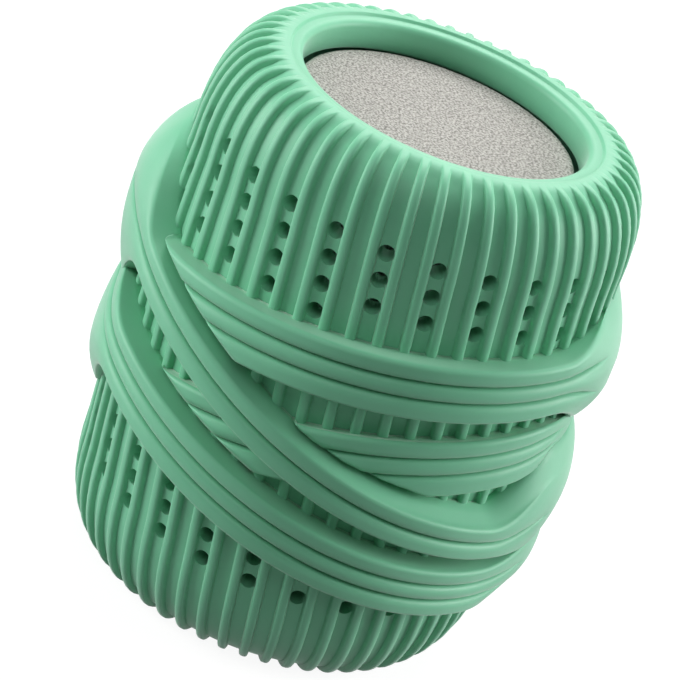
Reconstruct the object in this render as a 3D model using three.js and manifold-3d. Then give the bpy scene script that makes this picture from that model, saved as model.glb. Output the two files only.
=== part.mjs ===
// Laundry ball: an upright barrel of soft moulded rubber with twisted ribs, rows of wash holes,
// cord-like bands wound round its waist and a foam core that pulls out of the top mouth.
// Millimetres, +Z up, origin in the middle of the face that it stands on.

import * as THREE from 'three';
import { mergeVertices } from 'three/addons/utils/BufferGeometryUtils.js';
import Module from 'manifold-3d';

const wasm = await Module();
wasm.setup();

// Barrel outside
const HEIGHT = 72; // from the lower lip to the upper lip
const BARREL_RADIUS = 29.2; // over the rib crests at mid height
const BARREL_BULGE = 0.78; // radius lost between mid height and the shoulders
const SHOULDER_HEIGHT = 22; // shoulders, above and below mid height
const SHOULDER_ROUNDNESS = 2.45; // power of the rounded shoulder: 2 is an ellipse
const MOUTH_RADIUS = 18.6;
const LIP_WIDTH = 2.6; // flat ring round each mouth

// Barrel inside
const WALL = 3.5; // between a valley and the inside
const LIP_DEPTH = 4.2; // how deep each mouth is a straight bore
const LEDGE_WIDTH = 1.6; // step in the lower mouth that carries the core
const LEDGE_THICKNESS = 3;

// Ribs
const RIB_COUNT = 54;
const RIB_HEIGHT = 0.8;
const RIB_CREST_WIDTH = 1.4;
const RIB_ROOT_WIDTH = 1.8;
const RIB_TWIST = 18.4; // degrees, over the whole height
const RIB_PHASE = 3.57; // degrees from the front to a crest at mid height

// Wash holes, one column in every second valley
const HOLE_SIZE = 1.6;
const HOLE_PITCH = 3.4; // between rows
const UPPER_HOLE_ROWS = 4;
const UPPER_HOLE_START = 15.5; // lowest upper row, above mid height
const LOWER_HOLE_ROWS = 3;
const LOWER_HOLE_START = 15.5; // highest lower row, below mid height

// Bands: strands side by side, with a steep flank above them
const BAND_EDGE = 0.6; // bevel under the lowest strand
const GROOVE_WIDTH = 1;
const GROOVE_DEPTH = 0.6;

// Each band: its strands, their pitch, how far the foot of its flank lies above them and how high
// they stand over the rib crests. Then its middle line: its height above mid height, its rise
// towards the right-hand side (+X) and how far it dips at the front and at the back. Towards the
// right-hand and left-hand sides its strands run together into a wave, given as [above mid height,
// above the rib crests] of its top, crown and bottom. A web is a top that spreads early.
const UPPER_BAND = {
  strands: 3, pitch: 2.35, flank: -0.3, tall: 3, height: 11.1, rise: 2.9, dip: 0,
  right: { top: [20.6, 0], crown: [11.5, 2.95], bottom: [4.2, 0.8] },
};
const CROSSING_BAND = {
  strands: 2, pitch: 2.35, flank: 0.6, tall: 3.5, height: 0.75, rise: -11.1, dip: 3,
  right: { top: [1, 1.2], crown: [-8, 3.7], bottom: [-13, 3.1], web: true },
  left: { top: [23.3, 0], crown: [13, 4.2], bottom: [-0.5, 1.5] },
};
const LOWER_BAND = {
  strands: 3, pitch: 2.35, flank: 0, tall: 3.3, height: -10.2, rise: -7.7, dip: 2.3,
  right: { top: [-13, 3.1], crown: [-17, 3.6], bottom: [-22, 0.5] },
  left: { top: [-0.5, 1.5], crown: [-9.5, 3], bottom: [-17.4, 0.5] },
};
const MIDDLE_BAND = {
  strands: 3, pitch: 2.45, flank: -0.3, tall: 1.5, height: -2.5, rise: 5.8, dip: -1.1,
  right: { top: [4.2, 0.8], crown: [2.6, 1], bottom: [1, 1.2] },
};
const WAVE_SPREAD = [54, 92]; // degrees from the front or from the back, where waves start and are full
const WEB_SPREAD = [44, 66];
const WAVE_ROUNDNESS = 2.4; // power of a wave's sides: 2 is a parabola

// Arcs of the bands that don't go right round, in degrees from the front towards +X. Each runs
// on past the bands that it dives under, which cut it back.
const UPPER_ARC = [-80, 260];
const MIDDLE_RIGHT_ARC = [-15, 195];
const MIDDLE_FRONT_ARC = [-60, 0];
const MIDDLE_BACK_ARC = [180, 240];

// Foam core
const CORE_CLEARANCE = 0.4; // all round, in the mouths
const CORE_RECESS = 3.8; // from the upper lip down to the core
const CORE_CHAMFER = 0.8;

const SEAT_GAP = 0.3; // between pieces that rest on each other
const OVERRUN = 1; // how far a cutting shape runs past the face that it cuts
const ROOM_HEIGHT = 6; // more than any band stands over the rib crests
const WELD = 1e-4; // points closer than this are one point
const ROUND_STEPS = 36; // facets round a turned face
const BAND_STEPS = 54; // facets round a band
const SHOULDER_STEPS = 3;
const BODY_STEPS = 3;

const TURN = 2 * Math.PI;
const MID_HEIGHT = HEIGHT / 2;
const SHOULDER_RADIUS = BARREL_RADIUS - BARREL_BULGE;
const LIP_RADIUS = MOUTH_RADIUS + LIP_WIDTH;
const OUTER_BANDS = [UPPER_BAND, CROSSING_BAND, LOWER_BAND];

// A point on a circle round the axis. Angle 0 is the front (-Y) and grows towards +X.
function around(radius, angle, z) {
  return new THREE.Vector3(radius * Math.sin(angle), -radius * Math.cos(angle), z);
}

// Closed triangles to a solid, and back
function solidOf(geometry) {
  const bare = geometry.clone();
  bare.deleteAttribute('normal');
  bare.deleteAttribute('uv');
  const merged = mergeVertices(bare, WELD);
  const triVerts = [];
  for (let i = 0; i < merged.index.count; i += 3) {
    const [a, b, c] = [0, 1, 2].map((k) => merged.index.getX(i + k));
    if (a !== b && b !== c && c !== a) triVerts.push(a, b, c);
  }
  return new wasm.Manifold(new wasm.Mesh({
    numProp: 3,
    vertProperties: new Float32Array(merged.attributes.position.array),
    triVerts: new Uint32Array(triVerts),
  }));
}

function geometryOf(solid) {
  const mesh = solid.getMesh();
  const geometry = new THREE.BufferGeometry();
  geometry.setAttribute('position', new THREE.BufferAttribute(mesh.vertProperties, 3));
  geometry.setIndex(new THREE.BufferAttribute(mesh.triVerts, 1));
  geometry.computeVertexNormals();
  return geometry;
}

// Skin over a row of rings with as many points each. The row closes on itself, or ends in caps
// that are filled from the given flat outline of a ring.
function loft(rings, capOutline) {
  const size = rings[0].length;
  const index = [];
  const last = capOutline ? rings.length - 1 : rings.length;
  for (let j = 0; j < last; j += 1) {
    const low = j * size;
    const high = ((j + 1) % rings.length) * size;
    for (let i = 0; i < size; i += 1) {
      const next = (i + 1) % size;
      index.push(low + i, low + next, high + next);
      index.push(low + i, high + next, high + i);
    }
  }
  if (capOutline) {
    const top = (rings.length - 1) * size;
    for (const [a, b, c] of THREE.ShapeUtils.triangulateShape(capOutline, [])) {
      index.push(a, c, b);
      index.push(top + a, top + b, top + c);
    }
  }
  const geometry = new THREE.BufferGeometry().setFromPoints(rings.flat());
  geometry.setIndex(index);
  return geometry;
}

// A profile of [radius, z] pairs that starts and ends on the axis, turned about Z
function turned(profile) {
  const points = profile.map(([r, z]) => new THREE.Vector2(r, z));
  return new THREE.LatheGeometry(points, ROUND_STEPS).rotateX(Math.PI / 2);
}

// Radius over the crests between the shoulders, where the side bulges gently
function crestRadius(fromMid) {
  return BARREL_RADIUS - BARREL_BULGE * (fromMid / SHOULDER_HEIGHT) ** 2;
}

// The rounded upper shoulder over the crests, from the lip down. Each entry has its outward
// normal and how deep the valleys are there.
function upperShoulder() {
  const across = SHOULDER_RADIUS - LIP_RADIUS;
  const up = MID_HEIGHT - SHOULDER_HEIGHT;
  const outline = [];
  for (let i = 0; i <= SHOULDER_STEPS; i += 1) {
    const q = (Math.PI / 2) * (1 - i / SHOULDER_STEPS);
    const c = Math.max(Math.cos(q), 0) ** (2 / SHOULDER_ROUNDNESS);
    const s = Math.max(Math.sin(q), 0) ** (2 / SHOULDER_ROUNDNESS);
    const normal = new THREE.Vector2(
      c ** (SHOULDER_ROUNDNESS - 1) / across,
      s ** (SHOULDER_ROUNDNESS - 1) / up,
    ).normalize();
    const depth = i === 0 ? 0 : RIB_HEIGHT;
    outline.push({ r: LIP_RADIUS + across * c, z: SHOULDER_HEIGHT + up * s, normal, depth });
  }
  return outline;
}

// The whole outline, from the lower lip to the upper lip, with z from the standing face
function barrelOutline() {
  const upper = upperShoulder();
  const lower = upper.map(({ r, z, normal, depth }) => (
    { r, z: -z, normal: new THREE.Vector2(normal.x, -normal.y), depth }
  ));
  const side = [];
  for (let i = 1; i < BODY_STEPS; i += 1) {
    const z = SHOULDER_HEIGHT * ((2 * i) / BODY_STEPS - 1);
    side.push({ r: crestRadius(z), z, normal: new THREE.Vector2(1, 0), depth: RIB_HEIGHT });
  }
  return [...lower, ...side, ...upper.reverse()].map((p) => ({ ...p, z: p.z + MID_HEIGHT }));
}

// A place on the outline, set inwards along its normal
function setIn({ r, z, normal }, depth) {
  return [r - depth * normal.x, z - depth * normal.y];
}

function twistAt(z) {
  return THREE.MathUtils.degToRad(RIB_PHASE - RIB_TWIST * ((z - MID_HEIGHT) / HEIGHT));
}

// Solid ribbed barrel, before it is hollowed
function ribbedBarrel() {
  const crest = RIB_CREST_WIDTH / 2 / BARREL_RADIUS;
  const root = RIB_ROOT_WIDTH / 2 / BARREL_RADIUS;
  const rings = barrelOutline().map((place) => {
    const ring = [];
    for (let rib = 0; rib < RIB_COUNT; rib += 1) {
      const middle = (TURN * rib) / RIB_COUNT;
      for (const [turn, depth] of [[-root, place.depth], [-crest, 0], [crest, 0], [root, place.depth]]) {
        const [r, z] = setIn(place, depth);
        ring.push(around(r, middle + turn + twistAt(z), z));
      }
    }
    return ring;
  });
  const flat = rings[0].map(({ x, y }) => new THREE.Vector2(x, y));
  return solidOf(loft(rings, flat));
}

// What is hollow: the two mouths, the ledge in the lower one and the wider space between them
function hollow() {
  const below = -OVERRUN;
  const beyond = HEIGHT + OVERRUN;
  const ledgeRadius = MOUTH_RADIUS - LEDGE_WIDTH;
  const roof = HEIGHT - LIP_DEPTH;
  const inside = barrelOutline()
    .map((place) => setIn(place, RIB_HEIGHT + WALL))
    .filter(([r, z]) => r > MOUTH_RADIUS && z > LIP_DEPTH && z < roof);
  return solidOf(turned([
    [0, below], [ledgeRadius, below],
    [ledgeRadius, LEDGE_THICKNESS], [MOUTH_RADIUS, LEDGE_THICKNESS], [MOUTH_RADIUS, LIP_DEPTH],
    ...inside,
    [MOUTH_RADIUS, roof], [MOUTH_RADIUS, beyond], [0, beyond],
  ]));
}

// Square punches through the wall, turned to lie along their valleys. No hole is made where a
// band would cover it or where it would touch the foot of a band below it.
function holePunches() {
  const rows = [];
  for (let i = 0; i < UPPER_HOLE_ROWS; i += 1) rows.push(UPPER_HOLE_START + i * HOLE_PITCH);
  for (let i = 0; i < LOWER_HOLE_ROWS; i += 1) rows.push(-LOWER_HOLE_START - i * HOLE_PITCH);
  const start = MOUTH_RADIUS + CORE_CLEARANCE;
  const length = BARREL_RADIUS + OVERRUN - start;
  const lean = Math.atan((BARREL_RADIUS * THREE.MathUtils.degToRad(RIB_TWIST)) / HEIGHT);
  const punches = [];
  for (const row of rows) {
    for (let valley = 0; valley < RIB_COUNT; valley += 2) {
      const angle = twistAt(MID_HEIGHT + row) + (TURN * (valley + 0.5)) / RIB_COUNT;
      if (OUTER_BANDS.some((band) => isInTheWay(band, angle, row))) continue;
      const punch = new THREE.BoxGeometry(HOLE_SIZE, length, HOLE_SIZE);
      punch.translate(0, -start - length / 2, 0).rotateY(-lean);
      punches.push(solidOf(punch.rotateZ(angle).translate(0, 0, MID_HEIGHT + row)));
    }
  }
  return wasm.Manifold.union(punches);
}

// Bands
function bandWidth(band) {
  return band.strands * band.pitch;
}

function bandMiddle(band, angle) {
  return band.height + band.rise * Math.sin(angle) - band.dip * Math.cos(angle) ** 2;
}

// How much longer a band is across, measured along the barrel, where it runs at a slant
function bandStretch(band, angle) {
  const climb = band.rise * Math.cos(angle) + band.dip * Math.sin(2 * angle);
  return Math.hypot(1, climb / BARREL_RADIUS);
}

function waveOn(band, angle) {
  return Math.sin(angle) > 0 ? band.right : band.left;
}

// From the foot of a band's flank, 0, to its lower edge, 1
function bandAcross(band, along) {
  const half = bandWidth(band) / 2;
  return (half + band.flank - along) / (2 * half + band.flank);
}

// How far a place across a band has run together into its wave, 0 to 1
function waveShare(band, wave, angle, along) {
  const sideways = THREE.MathUtils.radToDeg(Math.asin(Math.abs(Math.sin(angle))));
  const share = THREE.MathUtils.smoothstep(sideways, ...WAVE_SPREAD);
  if (!wave.web) return share;
  const upper = 1 - THREE.MathUtils.clamp(bandAcross(band, along), 0, 1);
  return THREE.MathUtils.lerp(share, THREE.MathUtils.smoothstep(sideways, ...WEB_SPREAD), upper ** 2);
}

function waveHeight({ top, crown, bottom }, fromMid) {
  const [endZ, endHeight] = fromMid > crown[0] ? top : bottom;
  const reach = (fromMid - crown[0]) / (endZ - crown[0]);
  return THREE.MathUtils.lerp(crown[1], endHeight, reach ** WAVE_ROUNDNESS);
}

// Height above mid height of a place across a band, which is counted from its middle line: on the
// full wave, and at any angle
function wavePlace(band, wave, along) {
  return THREE.MathUtils.lerp(wave.top[0], wave.bottom[0], bandAcross(band, along));
}

function bandPlace(band, angle, along) {
  const fromMid = bandMiddle(band, angle) + along * bandStretch(band, angle);
  const wave = waveOn(band, angle);
  if (!wave) return fromMid;
  return THREE.MathUtils.lerp(fromMid, wavePlace(band, wave, along), waveShare(band, wave, angle, along));
}

function isInTheWay(band, angle, fromMid) {
  const half = bandWidth(band) / 2;
  const top = bandPlace(band, angle, half + band.flank) + HOLE_SIZE / 2;
  return fromMid < top && fromMid > bandPlace(band, angle, -half);
}

// Outline across a band, as [along the barrel, above the rib crests], from its flank down. The
// first and last points are its foot.
function bandSection(band) {
  const half = bandWidth(band) / 2;
  const section = [[half + band.flank, SEAT_GAP], [half - GROOVE_WIDTH / 2, band.tall]];
  for (let i = 1; i < band.strands; i += 1) {
    const groove = half - i * band.pitch;
    section.push([groove + GROOVE_WIDTH / 2, band.tall]);
    section.push([groove, band.tall - GROOVE_DEPTH]);
    section.push([groove - GROOVE_WIDTH / 2, band.tall]);
  }
  section.push([-half + BAND_EDGE, band.tall], [-half, band.tall - BAND_EDGE], [-half, SEAT_GAP]);
  return section;
}

// A section swept along a band, right round or over an arc
function sweep(band, sectionAt, arc) {
  const [from, to] = (arc ?? [0, 360]).map(THREE.MathUtils.degToRad);
  const steps = Math.round((BAND_STEPS * (to - from)) / TURN);
  const rings = [];
  for (let i = 0; i < (arc ? steps + 1 : steps); i += 1) {
    const angle = from + ((to - from) * i) / steps;
    rings.push(sectionAt(angle).map(([along, above]) => {
      const fromMid = bandPlace(band, angle, along);
      return around(crestRadius(fromMid) + above, angle, MID_HEIGHT + fromMid);
    }));
  }
  const cap = arc && sectionAt(from).map(([along, above]) => new THREE.Vector2(along, above));
  return solidOf(loft(rings, cap));
}

function bandSolid(band, arc) {
  const section = bandSection(band);
  const top = section.slice(1, -1);
  return sweep(band, (angle) => {
    const wave = waveOn(band, angle);
    if (!wave) return section;
    const waved = top.map(([along, above]) => {
      const height = waveHeight(wave, wavePlace(band, wave, along));
      return [along, THREE.MathUtils.lerp(above, height, waveShare(band, wave, angle, along))];
    });
    return [section[0], ...waved, section.at(-1)];
  }, arc);
}

// Room that a band needs in the bands that end against it, with all that lies below or above it
// if asked for
function bandRoom(band, { below = 0, above = 0 } = {}) {
  const half = bandWidth(band) / 2;
  const top = half + band.flank + SEAT_GAP + above;
  const bottom = -half - SEAT_GAP - below;
  const section = [
    [top, -OVERRUN], [top, ROOM_HEIGHT], [bottom, ROOM_HEIGHT], [bottom, -OVERRUN],
  ];
  return sweep(band, () => section);
}

// The upper band tapers away under the crossing band on the left
function upperArc() {
  return bandSolid(UPPER_BAND, UPPER_ARC)
    .subtract(bandRoom(CROSSING_BAND, { below: SHOULDER_HEIGHT }));
}

// The middle band shows as three arcs: one above the crossing band, on the right, and two between
// the crossing and lower bands, at the front and at the back on the left
function middleArcRight() {
  return bandSolid(MIDDLE_BAND, MIDDLE_RIGHT_ARC)
    .subtract(bandRoom(CROSSING_BAND, { below: SHOULDER_HEIGHT }))
    .subtract(bandRoom(UPPER_BAND, { above: SHOULDER_HEIGHT }));
}

function middleArcLeft(arc) {
  return bandSolid(MIDDLE_BAND, arc)
    .subtract(bandRoom(CROSSING_BAND, { above: SHOULDER_HEIGHT }))
    .subtract(bandRoom(LOWER_BAND, { below: SHOULDER_HEIGHT }));
}

// Foam plug, a little narrower than the mouths, standing on the ledge
function foamPlug() {
  const radius = MOUTH_RADIUS - CORE_CLEARANCE;
  const bottom = LEDGE_THICKNESS + SEAT_GAP;
  const top = HEIGHT - CORE_RECESS;
  const rim = radius - CORE_CHAMFER;
  return solidOf(turned([
    [0, bottom], [rim, bottom], [radius, bottom + CORE_CHAMFER],
    [radius, top - CORE_CHAMFER], [rim, top], [0, top],
  ]));
}

// Assembly
const rubber = { color: 0x6fb592, roughness: 0.55, metalness: 0 };
const foam = { color: 0xbfc0ba, roughness: 0.95, metalness: 0 };

const ball = new THREE.Group();

function add(name, solid, finish) {
  const mesh = new THREE.Mesh(geometryOf(solid), new THREE.MeshStandardMaterial(finish));
  mesh.name = name;
  ball.add(mesh);
}

add('barrel_shell', ribbedBarrel().subtract(hollow()).subtract(holePunches()), rubber);
add('upper_band', upperArc(), rubber);
add('crossing_band', bandSolid(CROSSING_BAND), rubber);
add('lower_band', bandSolid(LOWER_BAND).subtract(bandRoom(CROSSING_BAND)), rubber);
add('middle_band_right', middleArcRight(), rubber);
add('middle_band_front', middleArcLeft(MIDDLE_FRONT_ARC), rubber);
add('middle_band_back', middleArcLeft(MIDDLE_BACK_ARC), rubber);
add('foam_core', foamPlug(), foam);

export default ball;
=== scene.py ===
import math
from collections import namedtuple

import bmesh
import bpy
import numpy as np
from mathutils import Matrix, Vector


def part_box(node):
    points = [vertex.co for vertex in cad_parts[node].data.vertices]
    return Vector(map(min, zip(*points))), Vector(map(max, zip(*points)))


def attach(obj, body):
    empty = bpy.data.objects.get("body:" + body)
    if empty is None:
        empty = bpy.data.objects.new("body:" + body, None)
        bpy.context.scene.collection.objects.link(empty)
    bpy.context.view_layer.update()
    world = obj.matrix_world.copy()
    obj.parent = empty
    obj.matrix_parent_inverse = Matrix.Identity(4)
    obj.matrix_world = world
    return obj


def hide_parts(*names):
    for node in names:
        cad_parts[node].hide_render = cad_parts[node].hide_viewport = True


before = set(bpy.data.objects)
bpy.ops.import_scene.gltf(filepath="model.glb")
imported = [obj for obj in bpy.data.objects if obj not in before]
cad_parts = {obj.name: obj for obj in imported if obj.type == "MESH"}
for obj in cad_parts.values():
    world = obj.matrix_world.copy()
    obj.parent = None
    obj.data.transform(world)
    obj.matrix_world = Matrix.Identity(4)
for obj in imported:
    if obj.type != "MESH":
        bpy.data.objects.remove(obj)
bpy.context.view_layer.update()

# Barrel shell: one soft moulding of green thermoplastic rubber, open at both ends. Its ribs twist
# slightly, wash holes go through every second valley, and a shallow step runs round each mouth.
# Everything else is moulded on to it or sits in it.
MM = 0.001
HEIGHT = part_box("barrel_shell")[1].z
MIDDLE = HEIGHT / 2
BARREL_RADIUS = 29.2 * MM
BARREL_BULGE = 0.78 * MM
SHOULDER_HEIGHT = 22 * MM
SHOULDER_ROUNDNESS = 2.45
SHOULDER_ROWS = 14
SHOULDER_SPACING = 1.5  # over 1, rows lie closer together towards the lip
SIDE_ROWS = 9
RIB_RING_RADIUS = 21.2 * MM
MOUTH_RADIUS = 18.6 * MM
MOUTH_ROUNDING = 0.8 * MM
MOUTH_ROWS = 6
STEP_RADIUS = 20.35 * MM
STEP_DEPTH = 0.4 * MM
STEP_SLOPE = 0.35 * MM
STEP_ROWS = 7
LIP_DEPTH = 4.2 * MM
LEDGE_WIDTH = 1.6 * MM
LEDGE_THICKNESS = 3 * MM
INSIDE_EDGE = STEP_DEPTH / 3
INSIDE_START = math.radians(50)
INSIDE_LEAN = 0.8
INSIDE_ROWS = 6
WALL = 3.5 * MM
RIB_COUNT = 54
RIB_HEIGHT = 0.8 * MM
RIB_HALF_WIDTH = 0.72 * MM
RIB_ROUNDNESS = 3
RIB_COLUMNS = 0, 0.3, 0.48, 0.6, 0.68, 0.77, 1.1  # millimetres from a rib's middle
RIB_END = 3 * MM
RIB_TWIST = math.radians(18.4) / HEIGHT
HOLE_PHASE = math.radians(6.9)
HOLE_DIAMETER = 2.1 * MM
HOLE_LENGTH = 5 * WALL
HOLE_SIDES = 18
HOLE_CLEARANCE = 0.5 * MM
BAND_FOOT = 14.3 * MM  # upper edge of the bands, above mid height at the front and at the back
BAND_FOOT_RISE = 2.9 * MM  # how much higher that edge lies on the right
HOLE_ROWS = 25.7 * MM, 22.3 * MM, 18.9 * MM, 15.5 * MM, -15.5 * MM, -18.9 * MM, -22.3 * MM
WELD = 0.001 * MM
CREASE = math.radians(50)
MOTTLE = 7 * MM
GRAIN = 0.35 * MM


def crest_radius(from_mid):
    return BARREL_RADIUS - BARREL_BULGE * (from_mid / SHOULDER_HEIGHT) ** 2


def smooth_step(value):
    t = np.clip(value, 0, 1)
    return t * t * (3 - 2 * t)


def shoulder_point(q):
    across = crest_radius(SHOULDER_HEIGHT) - RIB_RING_RADIUS
    up = MIDDLE - SHOULDER_HEIGHT
    r = RIB_RING_RADIUS + across * max(math.cos(q), 0) ** (2 / SHOULDER_ROUNDNESS)
    z = SHOULDER_HEIGHT + up * max(math.sin(q), 0) ** (2 / SHOULDER_ROUNDNESS)
    return r, z


def half_outline(throat):
    """From mid height up the outside, down the step, into the throat and down the inside.

    Each row is a radius, a height above mid height, and how deep the valleys are cut there, 0 to 1."""
    rows = [(crest_radius(z), z, 1) for z in np.linspace(0, SHOULDER_HEIGHT, SIDE_ROWS)]
    for i in range(1, SHOULDER_ROWS + 1):
        r, z = shoulder_point(math.pi / 2 * (1 - (1 - i / SHOULDER_ROWS) ** SHOULDER_SPACING))
        rows.append((r, z, float(smooth_step((r - RIB_RING_RADIUS) / RIB_END))))
    for t in np.linspace(0, 1, STEP_ROWS):
        r = STEP_RADIUS + STEP_SLOPE * (0.5 - t)
        rows.append((r, MIDDLE - STEP_DEPTH * float(smooth_step(t)), 0))
    for q in np.linspace(0, math.pi / 2, MOUTH_ROWS):
        r = throat + MOUTH_ROUNDING * (1 - math.sin(q))
        rows.append((r, MIDDLE - STEP_DEPTH - MOUTH_ROUNDING * (1 - math.cos(q)), 0))
    if throat < MOUTH_RADIUS:
        ledge = MIDDLE - LEDGE_THICKNESS
        rows += [(throat, ledge + INSIDE_EDGE, 0), (throat + INSIDE_EDGE, ledge, 0)]
        rows.append((MOUTH_RADIUS, ledge, 0))
    roof = MIDDLE - LIP_DEPTH
    rows += [(MOUTH_RADIUS, roof + INSIDE_EDGE, 0), (MOUTH_RADIUS + INSIDE_EDGE, roof, 0)]
    inset = RIB_HEIGHT + WALL
    for q in np.linspace(INSIDE_START, 0, INSIDE_ROWS):
        r, z = shoulder_point(q)
        lean = INSIDE_LEAN * q
        rows.append((r - inset * math.cos(lean), min(z - inset * math.sin(lean), roof), 0))
    rows.append((crest_radius(0) - inset, 0, 0))
    return rows


def barrel_sector():
    """One hole column with a rib on each side of it, closed all along its outline."""
    top_half = half_outline(MOUTH_RADIUS)
    low_half = [(r, -z, rib) for r, z, rib in half_outline(MOUTH_RADIUS - LEDGE_WIDTH)]
    outline = np.array(top_half + low_half[-2:0:-1])
    along = np.roll(outline, -1, axis=0) - np.roll(outline, 1, axis=0)
    normal = np.column_stack([along[:, 1], -along[:, 0]])
    normal /= np.linalg.norm(normal, axis=1)[:, None]
    pitch = 2 * math.pi / RIB_COUNT
    offsets = np.array(RIB_COLUMNS) * MM
    offsets = np.concatenate([-offsets[:0:-1], offsets])
    swell = np.clip(1 - np.abs(offsets / RIB_HALF_WIDTH) ** RIB_ROUNDNESS, 0, 1) ** (1 / RIB_ROUNDNESS)
    turns = np.concatenate([[-pitch], offsets / BARREL_RADIUS - pitch / 2, [0]])
    turns = np.concatenate([turns, offsets / BARREL_RADIUS + pitch / 2, [pitch]])
    crest = np.concatenate([[0], swell, [0], swell, [0]])
    depth = RIB_HEIGHT * outline[:, 2:3] * (1 - crest)
    r = outline[:, 0:1] - depth * normal[:, 0:1]
    z = outline[:, 1:2] - depth * normal[:, 1:2]
    angle = turns + HOLE_PHASE - RIB_TWIST * z
    points = np.stack([r * np.sin(angle), -r * np.cos(angle), z + MIDDLE], axis=-1)
    rows, columns = r.shape
    faces = []
    for k in range(rows):
        here, there = k * columns, (k + 1) % rows * columns
        for c in range(columns - 1):
            faces.append((here + c, here + c + 1, there + c + 1, there + c))
    mesh = bpy.data.meshes.new("barrel_shell_dressed")
    mesh.from_pydata(points.reshape(-1, 3).tolist(), [], faces)
    return mesh


def wash_holes():
    """Middle of each wash hole on its valley. Above mid height, holes are made only clear above a line
    along the upper band's upper edge; below mid height, every row goes right round.
    """
    mesh = bpy.data.meshes.new("wash_hole_places")
    places = []
    for row in HOLE_ROWS:
        for turn in np.arange(0, 2 * math.pi, 4 * math.pi / RIB_COUNT):
            angle = turn + HOLE_PHASE - RIB_TWIST * row
            r = crest_radius(row) - RIB_HEIGHT
            band_foot = BAND_FOOT + BAND_FOOT_RISE * math.sin(angle)
            if row < 0 or row - HOLE_DIAMETER / 2 - HOLE_CLEARANCE > band_foot:
                places.append((r * math.sin(angle), -r * math.cos(angle), row + MIDDLE))
    mesh.from_pydata(places, [], [])
    return mesh


def fill_inputs(node, inputs):
    for socket, value in inputs.items():
        if isinstance(value, bpy.types.NodeSocket):
            node.id_data.links.new(value, node.inputs[socket])
        else:
            node.inputs[socket].default_value = value


def add_node(tree, kind, inputs=None, **settings):
    node = tree.nodes.new(kind)
    for name, value in settings.items():
        setattr(node, name, value)
    fill_inputs(node, inputs or {})
    return node


def linear(hex_colour):
    parts = [int(hex_colour[i:i + 2], 16) / 255 for i in (1, 3, 5)]
    return [p / 12.92 if p <= 0.04045 else ((p + 0.055) / 1.055) ** 2.4 for p in parts] + [1]


def new_material(name):
    material = bpy.data.materials.new(name)
    material.use_nodes = True
    return material


def soft_rubber():
    """Thermoplastic rubber from a spark-eroded mould: satin, faintly mottled, a little see-through."""
    material = new_material("moulded_green_rubber")
    tree = material.node_tree
    place = add_node(tree, "ShaderNodeTexCoord").outputs["Object"]
    mottle = add_node(tree, "ShaderNodeTexNoise", {"Vector": place, "Scale": 1 / MOTTLE, "Detail": 3})
    tone = add_node(tree, "ShaderNodeMix", {
        "Factor": mottle.outputs["Fac"], 6: linear("#6fbd96"), 7: linear("#7ac7a1"),
    }, data_type="RGBA")
    grain = add_node(tree, "ShaderNodeTexNoise", {"Vector": place, "Scale": 1 / GRAIN, "Detail": 2})
    bump = add_node(tree, "ShaderNodeBump", {
        "Height": grain.outputs["Fac"], "Strength": 0.12, "Distance": 0.05 * MM,
    })
    shine = add_node(tree, "ShaderNodeMapRange", {
        "Value": grain.outputs["Fac"], "To Min": 0.42, "To Max": 0.56,
    })
    fill_inputs(tree.nodes["Principled BSDF"], {
        "Base Color": tone.outputs[2], "Roughness": shine.outputs["Result"], "IOR": 1.48,
        "Normal": bump.outputs["Normal"], "Sheen Weight": 0.4, "Sheen Roughness": 0.4,
        "Subsurface Weight": 0.15, "Subsurface Radius": (0.5, 1, 0.7), "Subsurface Scale": 1.2 * MM,
    })
    return material


def new_tree(name, inputs, output):
    """A Geometry Nodes tree with its sockets, and what its input node gives."""
    tree = bpy.data.node_groups.new(name, "GeometryNodeTree")
    for label, kind in inputs.items():
        tree.interface.new_socket(label, in_out="INPUT", socket_type="NodeSocket" + kind)
    tree.interface.new_socket(output, in_out="OUTPUT", socket_type="NodeSocketGeometry")
    return tree, add_node(tree, "NodeGroupInput").outputs


def end_tree(tree, geometry, material):
    whole = add_node(tree, "GeometryNodeRealizeInstances", {0: geometry})
    done = add_node(tree, "GeometryNodeSetMaterial", {
        "Geometry": whole.outputs[0], "Material": material,
    })
    add_node(tree, "NodeGroupOutput", {0: done.outputs[0]})


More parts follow.
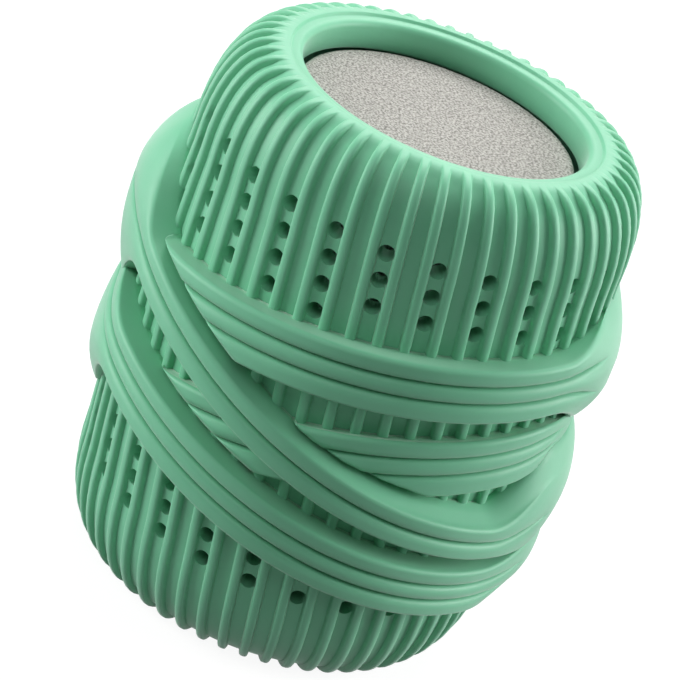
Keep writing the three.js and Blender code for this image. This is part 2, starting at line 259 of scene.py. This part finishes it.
def ribs_and_holes():
    """Repeats the sector right round the barrel and punches the wash holes."""
    tree, given = new_tree("ribs_and_wash_holes", {
        "Sector": "Geometry", "Sectors": "Int", "Hole places": "Object",
        "Hole diameter": "Float", "Hole length": "Float", "Rubber": "Material",
    }, "Barrel")

    def turned_by(angle):
        euler = add_node(tree, "ShaderNodeCombineXYZ", {"Z": angle.outputs[0]})
        return add_node(tree, "FunctionNodeEulerToRotation", {"Euler": euler.outputs[0]}).outputs[0]

    spots = add_node(tree, "GeometryNodeMeshLine", {"Count": given["Sectors"], "Offset": (0, 0, 0)})
    share = add_node(tree, "ShaderNodeMath", {0: 2 * math.pi, 1: given["Sectors"]}, operation="DIVIDE")
    index = add_node(tree, "GeometryNodeInputIndex")
    turn = add_node(tree, "ShaderNodeMath", {
        0: index.outputs[0], 1: share.outputs[0],
    }, operation="MULTIPLY")
    ring = add_node(tree, "GeometryNodeInstanceOnPoints", {
        "Points": spots.outputs[0], "Instance": given["Sector"], "Rotation": turned_by(turn),
    })
    ribbed = add_node(tree, "GeometryNodeRealizeInstances", {0: ring.outputs[0]})
    ribbed = add_node(tree, "GeometryNodeMergeByDistance", {
        "Geometry": ribbed.outputs[0], "Distance": WELD,
    })

    half = add_node(tree, "ShaderNodeMath", {0: given["Hole diameter"], 1: 0.5}, operation="MULTIPLY")
    punch = add_node(tree, "GeometryNodeMeshCylinder", {
        "Vertices": HOLE_SIDES, "Radius": half.outputs[0], "Depth": given["Hole length"],
    })
    punch = add_node(tree, "GeometryNodeTransform", {
        "Geometry": punch.outputs[0], "Rotation": (math.pi / 2, 0, 0),
    })
    places = add_node(tree, "GeometryNodeObjectInfo", {"Object": given["Hole places"]})
    place = add_node(tree, "GeometryNodeInputPosition")
    place = add_node(tree, "ShaderNodeSeparateXYZ", {0: place.outputs[0]})
    front = add_node(tree, "ShaderNodeMath", {0: place.outputs["Y"], 1: -1}, operation="MULTIPLY")
    turn = add_node(tree, "ShaderNodeMath", {
        0: place.outputs["X"], 1: front.outputs[0],
    }, operation="ARCTAN2")
    punches = add_node(tree, "GeometryNodeInstanceOnPoints", {
        "Points": places.outputs["Geometry"], "Instance": punch.outputs[0], "Rotation": turned_by(turn),
    })
    punches = add_node(tree, "GeometryNodeRealizeInstances", {0: punches.outputs[0]})
    holed = add_node(tree, "GeometryNodeMeshBoolean", {
        "Mesh 1": ribbed.outputs[0], "Mesh 2": punches.outputs[0],
    }, operation="DIFFERENCE", solver="MANIFOLD")

    rounded = add_node(tree, "GeometryNodeSetShadeSmooth", {"Geometry": holed.outputs[0]}, domain="FACE")
    bend = add_node(tree, "GeometryNodeInputMeshEdgeAngle")
    sharp = add_node(tree, "FunctionNodeCompare", {
        0: bend.outputs[0], 1: CREASE,
    }, operation="GREATER_THAN")
    creased = add_node(tree, "GeometryNodeSetShadeSmooth", {
        "Geometry": rounded.outputs[0], "Selection": sharp.outputs[0], "Shade Smooth": False,
    }, domain="EDGE")
    end_tree(tree, creased.outputs[0], given["Rubber"])
    return tree


def grow(piece, tree, values):
    """Runs a node tree on a piece, with its named inputs set, and keeps the result as a plain mesh."""
    modifier = piece.modifiers.new(tree.name, "NODES")
    modifier.node_group = tree
    for socket in tree.interface.items_tree:
        if socket.in_out == "INPUT" and socket.name in values:
            modifier[socket.identifier] = values[socket.name]
    evaluated = piece.evaluated_get(bpy.context.evaluated_depsgraph_get())
    mesh = bpy.data.meshes.new_from_object(evaluated)
    piece.modifiers.clear()
    piece.data = mesh
    mesh.name = piece.name


def new_object(name, data):
    made = bpy.data.objects.new(name, data)
    bpy.context.scene.collection.objects.link(made)
    return made


rubber = soft_rubber()
shell = new_object("barrel_shell_dressed", barrel_sector())
hole_places = new_object("wash_hole_places", wash_holes())
grow(shell, ribs_and_holes(), {
    "Sectors": RIB_COUNT // 2, "Hole places": hole_places, "Hole diameter": HOLE_DIAMETER,
    "Hole length": HOLE_LENGTH, "Rubber": rubber,
})
bpy.data.objects.remove(hole_places)
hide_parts("barrel_shell")
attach(shell, "shell")

# Bands: raised strands that run round the barrel like wound cord, moulded in the same rubber and
# in one piece with the shell. The crossing band lies over the others, which dive under it. Towards
# the mould's parting line, on the right and on the left, the strands run together into smooth waves.
GROOVE_DEPTH = 0.9
GROOVE_WIDTH = 0.12
GROOVE_SHARPNESS = 1.2
RIGHT_GROOVES_FADE = 60, 76
LEFT_GROOVES_FADE = 74, 92
PILLOW = 0.55
UPPER_ROUNDING = 0.6
LOWER_ROUNDING = 0.5
ROUNDING_COLUMNS = 8
STRAND_COLUMNS = 16
COLUMN_GAP = 0.05
BAND_ROOT = 1.3
BAND_STATIONS = 360
WAVE_SPREAD = 54, 84
WEB_SPREAD = 50, 72
WAVE_ROUNDNESS = 2
DIVE_LENGTH = 2
DIVE_GAP = 0.2
LINE_STEP = 0.01
CROSSING_FLANK = 0.2
CROSSING_FLANK_GAIN = 1.2
CROSSING_FLANK_SPREAD = 30

# Lengths of bands and waves are in millimetres, spreads and fades in degrees. A wave's top, crown and
# bottom lie above mid height, each with its height above the ribs. A web is a wave whose upper side
# spreads early. A band's flank is how far its foot lies above its strands, and its skirt how far its
# edge lies below them.
Wave = namedtuple("Wave", "top top_height crown height bottom bottom_height web", defaults=[False])
Band = namedtuple("Band", "strands pitch height flank skirt line right left")


def band_line(height, rise, dip):
    return lambda angle: height + rise * math.sin(angle) - dip * math.cos(angle) ** 2


def even_flank(width):
    return lambda angle: width


def sideways(angle):
    """Degrees from the front, or from the back, towards the right-hand side."""
    return math.degrees(math.asin(math.sin(angle)))


def crossing_flank(angle):
    """The crossing band's flank widens towards the right, at the front and at the back."""
    widened = float(smooth_step(sideways(angle) / CROSSING_FLANK_SPREAD))
    return CROSSING_FLANK + CROSSING_FLANK_GAIN * widened


def parting(angle, first, last):
    return float(smooth_step((abs(sideways(angle)) - first) / (last - first)))


def wave_height(z, wave):
    over_crown = z > wave.crown
    end = np.where(over_crown, wave.top, wave.bottom)
    end_height = np.where(over_crown, wave.top_height, wave.bottom_height)
    reach = (z - wave.crown) / (end - wave.crown)
    return wave.height + (end_height - wave.height) * reach ** WAVE_ROUNDNESS


def plain_section(band, angle):
    """Outline across a band without grooves, from its upper foot down: along the barrel from the
    band's middle line, and above the ribs."""
    half = band.strands * band.pitch / 2
    low = -half - band.skirt
    wall = np.array([0, 0.4, 0.8])
    q = np.linspace(0, math.pi / 2, ROUNDING_COLUMNS)
    step = np.sin(np.linspace(-math.pi / 2, math.pi / 2, STRAND_COLUMNS, endpoint=False))
    tops = np.concatenate([half - (i + 0.5 + step / 2) * band.pitch for i in range(band.strands)])
    tops = tops[(tops < half - UPPER_ROUNDING - COLUMN_GAP) & (tops > low + LOWER_ROUNDING + COLUMN_GAP)]
    along = np.concatenate([
        half + band.flank(angle) * (1 - wall), half - UPPER_ROUNDING * (1 - np.cos(q)),
        tops, low + LOWER_ROUNDING * (1 - np.cos(q[::-1])), [low, low],
    ])
    above = np.concatenate([
        (band.height - UPPER_ROUNDING) * wall, band.height - UPPER_ROUNDING * (1 - np.sin(q)),
        np.full_like(tops, band.height), band.height - LOWER_ROUNDING * (1 - np.sin(q[::-1])),
        [band.height / 2, 0],
    ])
    return along, above


def band_section(band, angle):
    """Outline across a band, from its upper foot down: heights above mid height and above the ribs."""
    along, above = plain_section(band, angle)
    climb = (band.line(angle + LINE_STEP) - band.line(angle - LINE_STEP)) / (2 * LINE_STEP)
    z = band.line(angle) + along * math.hypot(1, climb * MM / BARREL_RADIUS)
    on_right = sideways(angle) > 0
    grooves = (np.arange(1, band.strands) - band.strands / 2) * band.pitch
    wave = band.right if on_right else band.left
    if wave:
        up = (along - along[-1]) / (along[0] - along[-1])
        share = parting(angle, *WAVE_SPREAD)
        if wave.web:
            share = share + (parting(angle, *WEB_SPREAD) - share) * up ** 2
        spread = wave.bottom + (wave.top - wave.bottom) * up
        if not on_right:
            kept = np.interp(grooves, along[::-1], z[::-1])
            spread = np.interp(along, [along[-1], *grooves, along[0]], [wave.bottom, *kept, wave.top])
        above = above + (wave_height(spread, wave) - above) * share
        z = z + (spread - z) * share
    keep = 1 - parting(angle, *(RIGHT_GROOVES_FADE if on_right else LEFT_GROOVES_FADE))
    for groove in grooves:
        aside = np.abs(z - np.interp(-groove, -along, z))
        above = above - keep * GROOVE_DEPTH * np.exp(-(aside / GROOVE_WIDTH) ** GROOVE_SHARPNESS)
        above = above - keep * PILLOW * np.clip(1 - 2 * np.abs(along - groove) / band.pitch, 0, 1) ** 2
    return z, above


def dive(z, angle, cover, height):
    """How high a strand may stand above the ribs, beside the band that covers it."""
    room = z - band_section(cover, angle)[0][0] - DIVE_GAP
    reach = np.clip(room / DIVE_LENGTH, 0, 1)
    return (height + BAND_ROOT) * (reach * (2 - reach)) ** 0.5 - BAND_ROOT


def band_piece(name, band, arc=None, limit=None):
    first, last = arc or (0, 360)
    count = round(BAND_STATIONS * (last - first) / 360)
    angles = np.radians(np.linspace(first, last, count + 1 if arc else count, endpoint=bool(arc)))
    rings = []
    for angle in angles:
        z, above = band_section(band, angle)
        if limit:
            above = np.minimum(above, limit(angle, z))
        z = np.concatenate([z[:1], z, z[-1:]])
        above = np.concatenate([[-BAND_ROOT], above, [-BAND_ROOT]])
        r = crest_radius(z * MM) + above * MM
        rings.append(np.column_stack([r * math.sin(angle), -r * math.cos(angle), z * MM + MIDDLE]))
    size = len(rings[0])
    faces = []
    for j in range(len(rings) - 1 if arc else len(rings)):
        here, there = j * size, (j + 1) % len(rings) * size
        for i in range(size):
            near = (i + 1) % size
            faces.append((here + i, here + near, there + near, there + i))
    if arc:
        faces += [tuple(range(size))[::-1], tuple(range((len(rings) - 1) * size, len(rings) * size))]
    mesh = bpy.data.meshes.new(name)
    mesh.from_pydata(np.concatenate(rings).tolist(), [], faces)
    mesh.polygons.foreach_set("use_smooth", [True] * len(faces))
    mesh.materials.append(rubber)
    return new_object(name, mesh)


upper = Band(
    strands=3, pitch=2.35, height=3, flank=even_flank(-0.3), skirt=0.15,
    line=band_line(height=11.1, rise=2.9, dip=0),
    right=Wave(top=19.9, top_height=0, crown=10.8, height=3.1, bottom=3.8, bottom_height=0.5),
    left=None)
crossing = Band(
    strands=2, pitch=2.35, height=3.5, flank=crossing_flank, skirt=0,
    line=band_line(height=0.75, rise=-11.1, dip=3),
    right=Wave(top=1.4, top_height=0.6, crown=-8, height=3.7, bottom=-13, bottom_height=3.1, web=True),
    left=Wave(top=22, top_height=0, crown=13, height=4.2, bottom=-1, bottom_height=1.2))
lower = Band(
    strands=3, pitch=2.35, height=3.3, flank=even_flank(0), skirt=0,
    line=band_line(height=-10.2, rise=-7.7, dip=2.3),
    right=Wave(top=-12.6, top_height=2.9, crown=-17, height=3.6, bottom=-22, bottom_height=0.5),
    left=Wave(top=1.8, top_height=0.8, crown=-9.3, height=2.6, bottom=-17.4, bottom_height=0))
middle = Band(
    strands=3, pitch=2.45, height=1.5, flank=even_flank(-0.3), skirt=0.4,
    line=band_line(height=-2.5, rise=5.8, dip=-1.1),
    right=Wave(top=4.8, top_height=0.3, crown=2.6, height=0.8, bottom=1, bottom_height=0.9),
    left=None)


def above_crossing(angle, z):
    return dive(z, angle, crossing, upper.height)


def between_crossing_and_lower(angle, z):
    return np.where(crossing.line(angle) > z, dive(z, angle, lower, middle.height), -BAND_ROOT)


bands = {
    "upper_band": band_piece("upper_band_dressed", upper, (-78, 258), above_crossing),
    "crossing_band": band_piece("crossing_band_dressed", crossing),
    "lower_band": band_piece("lower_band_dressed", lower),
    "middle_band_right": band_piece("middle_band_right_dressed", middle, (-20, 200), above_crossing),
    "middle_band_front": band_piece(
        "middle_band_front_dressed", middle, (-66, 4), between_crossing_and_lower),
    "middle_band_back": band_piece(
        "middle_band_back_dressed", middle, (176, 246), between_crossing_and_lower),
}
for node, band in bands.items():
    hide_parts(node)
    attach(band, "shell")

# Foam core: a plug cut from grey open-cell polyurethane foam. It stands on the ledge in the lower
# mouth, fills both mouths but for a thin gap, and pulls out through the upper one.
core_low, core_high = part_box("foam_core")
CORE_RADIUS = core_high.x
CORE_ROUNDING = 0.9 * MM
CORE_EDGE_ROWS = 5
CORE_CELLS = 120
CORE_ROWS = 56
CELL = 0.55 * MM
CELL_DEPTH = 0.16 * MM
# size of the speckles that paint shade into the foam's cell mouths
PORE_SHADE_SIZE = 0.32 * MM


def foam_blank():
    """A plug with an even mesh: a square grid rounded to a disc at each end, and a side between."""
    grid = np.linspace(-1, 1, CORE_CELLS + 1)
    a, b = np.meshgrid(grid, grid)
    wide = np.abs(a) > np.abs(b)
    radius = np.where(wide, a, b)
    ratio = np.divide(np.where(wide, b, a), radius, out=np.zeros_like(radius), where=radius != 0)
    turn = np.where(wide, ratio * math.pi / 4, math.pi / 2 - ratio * math.pi / 4)
    flat = CORE_RADIUS - CORE_ROUNDING
    disc = flat * np.stack([radius * np.cos(turn), radius * np.sin(turn)], axis=-1)
    last = CORE_CELLS
    rim = [(0, i) for i in range(last)] + [(i, last) for i in range(last)]
    rim += [(last, i) for i in range(last, 0, -1)] + [(i, 0) for i in range(last, 0, -1)]

    plug = bmesh.new()
    rims = []
    for z, way in ((core_low.z, -1), (core_high.z, 1)):
        verts = [[plug.verts.new((*place, z)) for place in row] for row in disc]
        for near, far in zip(verts, verts[1:]):
            for i in range(last):
                quad = near[i], near[i + 1], far[i + 1], far[i]
                plug.faces.new(quad[::way])
        rims.append([verts[j][i] for j, i in rim])

    q = np.linspace(0, math.pi / 2, CORE_EDGE_ROWS)[1:]
    out = flat + CORE_ROUNDING * np.sin(q)
    up = CORE_ROUNDING * (1 - np.cos(q))
    side = np.linspace(core_low.z + CORE_ROUNDING, core_high.z - CORE_ROUNDING, CORE_ROWS)[1:-1]
    radii = np.concatenate([out, np.full_like(side, CORE_RADIUS), out[::-1]])
    heights = np.concatenate([core_low.z + up, side, core_high.z - up[::-1]])
    rings = [rims[0]]
    for r, z in zip(radii, heights):
        rings.append([plug.verts.new((v.co.x / flat * r, v.co.y / flat * r, z)) for v in rims[0]])
    rings.append(rims[1])
    for low, high in zip(rings, rings[1:]):
        for i in range(len(low)):
            near = (i + 1) % len(low)
            plug.faces.new((low[i], low[near], high[near], high[i]))
    bmesh.ops.recalc_face_normals(plug, faces=plug.faces)
    mesh = bpy.data.meshes.new("foam_core_dressed")
    plug.to_mesh(mesh)
    plug.free()
    return mesh


def open_cells():
    """Sinks the foam's open cells into its skin."""
    tree, given = new_tree("open_cells", {
        "Blank": "Geometry", "Cell": "Float", "Depth": "Float", "Foam": "Material",
    }, "Core")
    scale = add_node(tree, "ShaderNodeMath", {0: 1, 1: given["Cell"]}, operation="DIVIDE")
    cells = add_node(tree, "ShaderNodeTexNoise", {
        "Scale": scale.outputs[0], "Detail": 3, "Roughness": 0.7,
    })
    pit = add_node(tree, "ShaderNodeMath", {0: cells.outputs["Fac"], 1: -1}, operation="ADD")
    pit = add_node(tree, "ShaderNodeMath", {0: pit.outputs[0], 1: given["Depth"]}, operation="MULTIPLY")
    normal = add_node(tree, "GeometryNodeInputNormal")
    sink = add_node(tree, "ShaderNodeVectorMath", {
        0: normal.outputs[0], "Scale": pit.outputs[0],
    }, operation="SCALE")
    sunk = add_node(tree, "GeometryNodeSetPosition", {
        "Geometry": given["Blank"], "Offset": sink.outputs[0],
    })
    smooth = add_node(tree, "GeometryNodeSetShadeSmooth", {"Geometry": sunk.outputs[0]}, domain="FACE")
    end_tree(tree, smooth.outputs[0], given["Foam"])
    return tree


def grey_foam():
    """Open-cell polyurethane foam: dull, speckled with pale struts and with painted shade for the dark
    cell mouths.
    """
    material = new_material("open_cell_grey_foam")
    tree = material.node_tree
    place = add_node(tree, "ShaderNodeTexCoord").outputs["Object"]
    pore_shade = add_node(tree, "ShaderNodeTexNoise", {
        "Vector": place, "Scale": 1 / PORE_SHADE_SIZE, "Detail": 2, "Roughness": 0.6,
    })
    # The ramp's dark end is painted shade in the cell mouths; its pale end is the struts' own grey.
    tone = add_node(tree, "ShaderNodeValToRGB", {"Fac": pore_shade.outputs["Fac"]})
    for stop, position, colour in zip(tone.color_ramp.elements, (0.36, 0.62), ("#7b7974", "#c2c0ba")):
        stop.position = position
        stop.color = linear(colour)
    bump = add_node(tree, "ShaderNodeBump", {
        "Height": pore_shade.outputs["Fac"], "Strength": 0.5, "Distance": 0.15 * MM,
    })
    fill_inputs(tree.nodes["Principled BSDF"], {
        "Base Color": tone.outputs["Color"], "Normal": bump.outputs["Normal"],
        "Roughness": 0.95, "Specular IOR Level": 0.2,
    })
    return material


core = new_object("foam_core_dressed", foam_blank())
grow(core, open_cells(), {"Cell": CELL, "Depth": CELL_DEPTH, "Foam": grey_foam()})
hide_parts("foam_core")
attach(core, "core")

# Stage: a pale floor that reads as white paper and keeps a faint shadow, soft light from behind, from
# high in front and from both sides, and the camera of the photograph, which is rolled so that the
# ball leans to the right.
FLOOR_SIZE = 3
PAPER_GLOW = 0.92
half = FLOOR_SIZE / 2
floor_mesh = bpy.data.meshes.new("floor")
floor_mesh.from_pydata(
    [(-half, -half, 0), (half, -half, 0), (half, half, 0), (-half, half, 0)], [], [(0, 1, 2, 3)])
floor = new_object("floor", floor_mesh)
paper = new_material("white_paper")
rays = add_node(paper.node_tree, "ShaderNodeLightPath").outputs
seen = rays["Is Camera Ray"]
for kind in ("Is Glossy Ray", "Is Transmission Ray"):
    either = add_node(paper.node_tree, "ShaderNodeMath", {0: seen, 1: rays[kind]}, operation="MAXIMUM")
    seen = either.outputs[0]
glow = add_node(paper.node_tree, "ShaderNodeMath", {0: seen, 1: PAPER_GLOW}, operation="MULTIPLY")
fill_inputs(paper.node_tree.nodes["Principled BSDF"], {
    "Base Color": linear("#6c6c6c"), "Roughness": 1, "Specular IOR Level": 0,
    "Emission Color": linear("#ffffff"), "Emission Strength": glow.outputs[0],
})
floor_mesh.materials.append(paper)

ROOM_LIGHT = 0.12
world = bpy.data.worlds.new("soft_room")
bpy.context.scene.world = world
world.use_nodes = True
rays = add_node(world.node_tree, "ShaderNodeLightPath").outputs
strength = add_node(world.node_tree, "ShaderNodeMapRange", {
    "Value": rays["Is Camera Ray"], "To Min": ROOM_LIGHT, "To Max": 1,
})
fill_inputs(world.node_tree.nodes["Background"], {
    "Color": linear("#ffffff"), "Strength": strength.outputs["Result"],
})


def soft_light(name, place, size, power):
    lamp = bpy.data.lights.new(name, "AREA")
    lamp.size = size
    lamp.energy = power
    light = new_object(name, lamp)
    light.location = place
    aim = Vector((0, 0, MIDDLE)) - Vector(place)
    light.rotation_euler = aim.to_track_quat("-Z", "Y").to_euler()


soft_light("back_light", (0, 0.45, 0.65), size=0.6, power=6)
soft_light("front_light", (-0.1, -0.45, 0.65), size=0.4, power=1.1)
soft_light("left_light", (-0.6, -0.05, 0.2), size=0.4, power=3.7)
soft_light("right_light", (0.6, 0.15, 0.25), size=0.4, power=4.1)

CAMERA_HEIGHT_ANGLE = 0.4705  # radians above the floor
CAMERA_DISTANCE = 11.96 * BARREL_RADIUS
CAMERA_ROLL = math.radians(22.15)
CAMERA_LENS = 144.4
SENSOR_WIDTH = 36
IMAGE_SIZE = 680
BALL_RIGHT = 10.6  # pixels from the middle of the photograph
BALL_UP = 2.8
camera_data = bpy.data.cameras.new("camera")
camera_data.lens = CAMERA_LENS
camera_data.sensor_width = SENSOR_WIDTH
camera_data.shift_x = -BALL_RIGHT / IMAGE_SIZE
camera_data.shift_y = -BALL_UP / IMAGE_SIZE
camera = new_object("camera", camera_data)
back = Vector((0, -math.cos(CAMERA_HEIGHT_ANGLE), math.sin(CAMERA_HEIGHT_ANGLE)))
camera.location = Vector((0, 0, MIDDLE)) + CAMERA_DISTANCE * back
look = (-back).to_track_quat("-Z", "Y").to_matrix().to_4x4()
camera.rotation_euler = (look @ Matrix.Rotation(CAMERA_ROLL, 4, "Z")).to_euler()
bpy.context.scene.camera = camera
bpy.context.scene.view_settings.view_transform = "Standard"
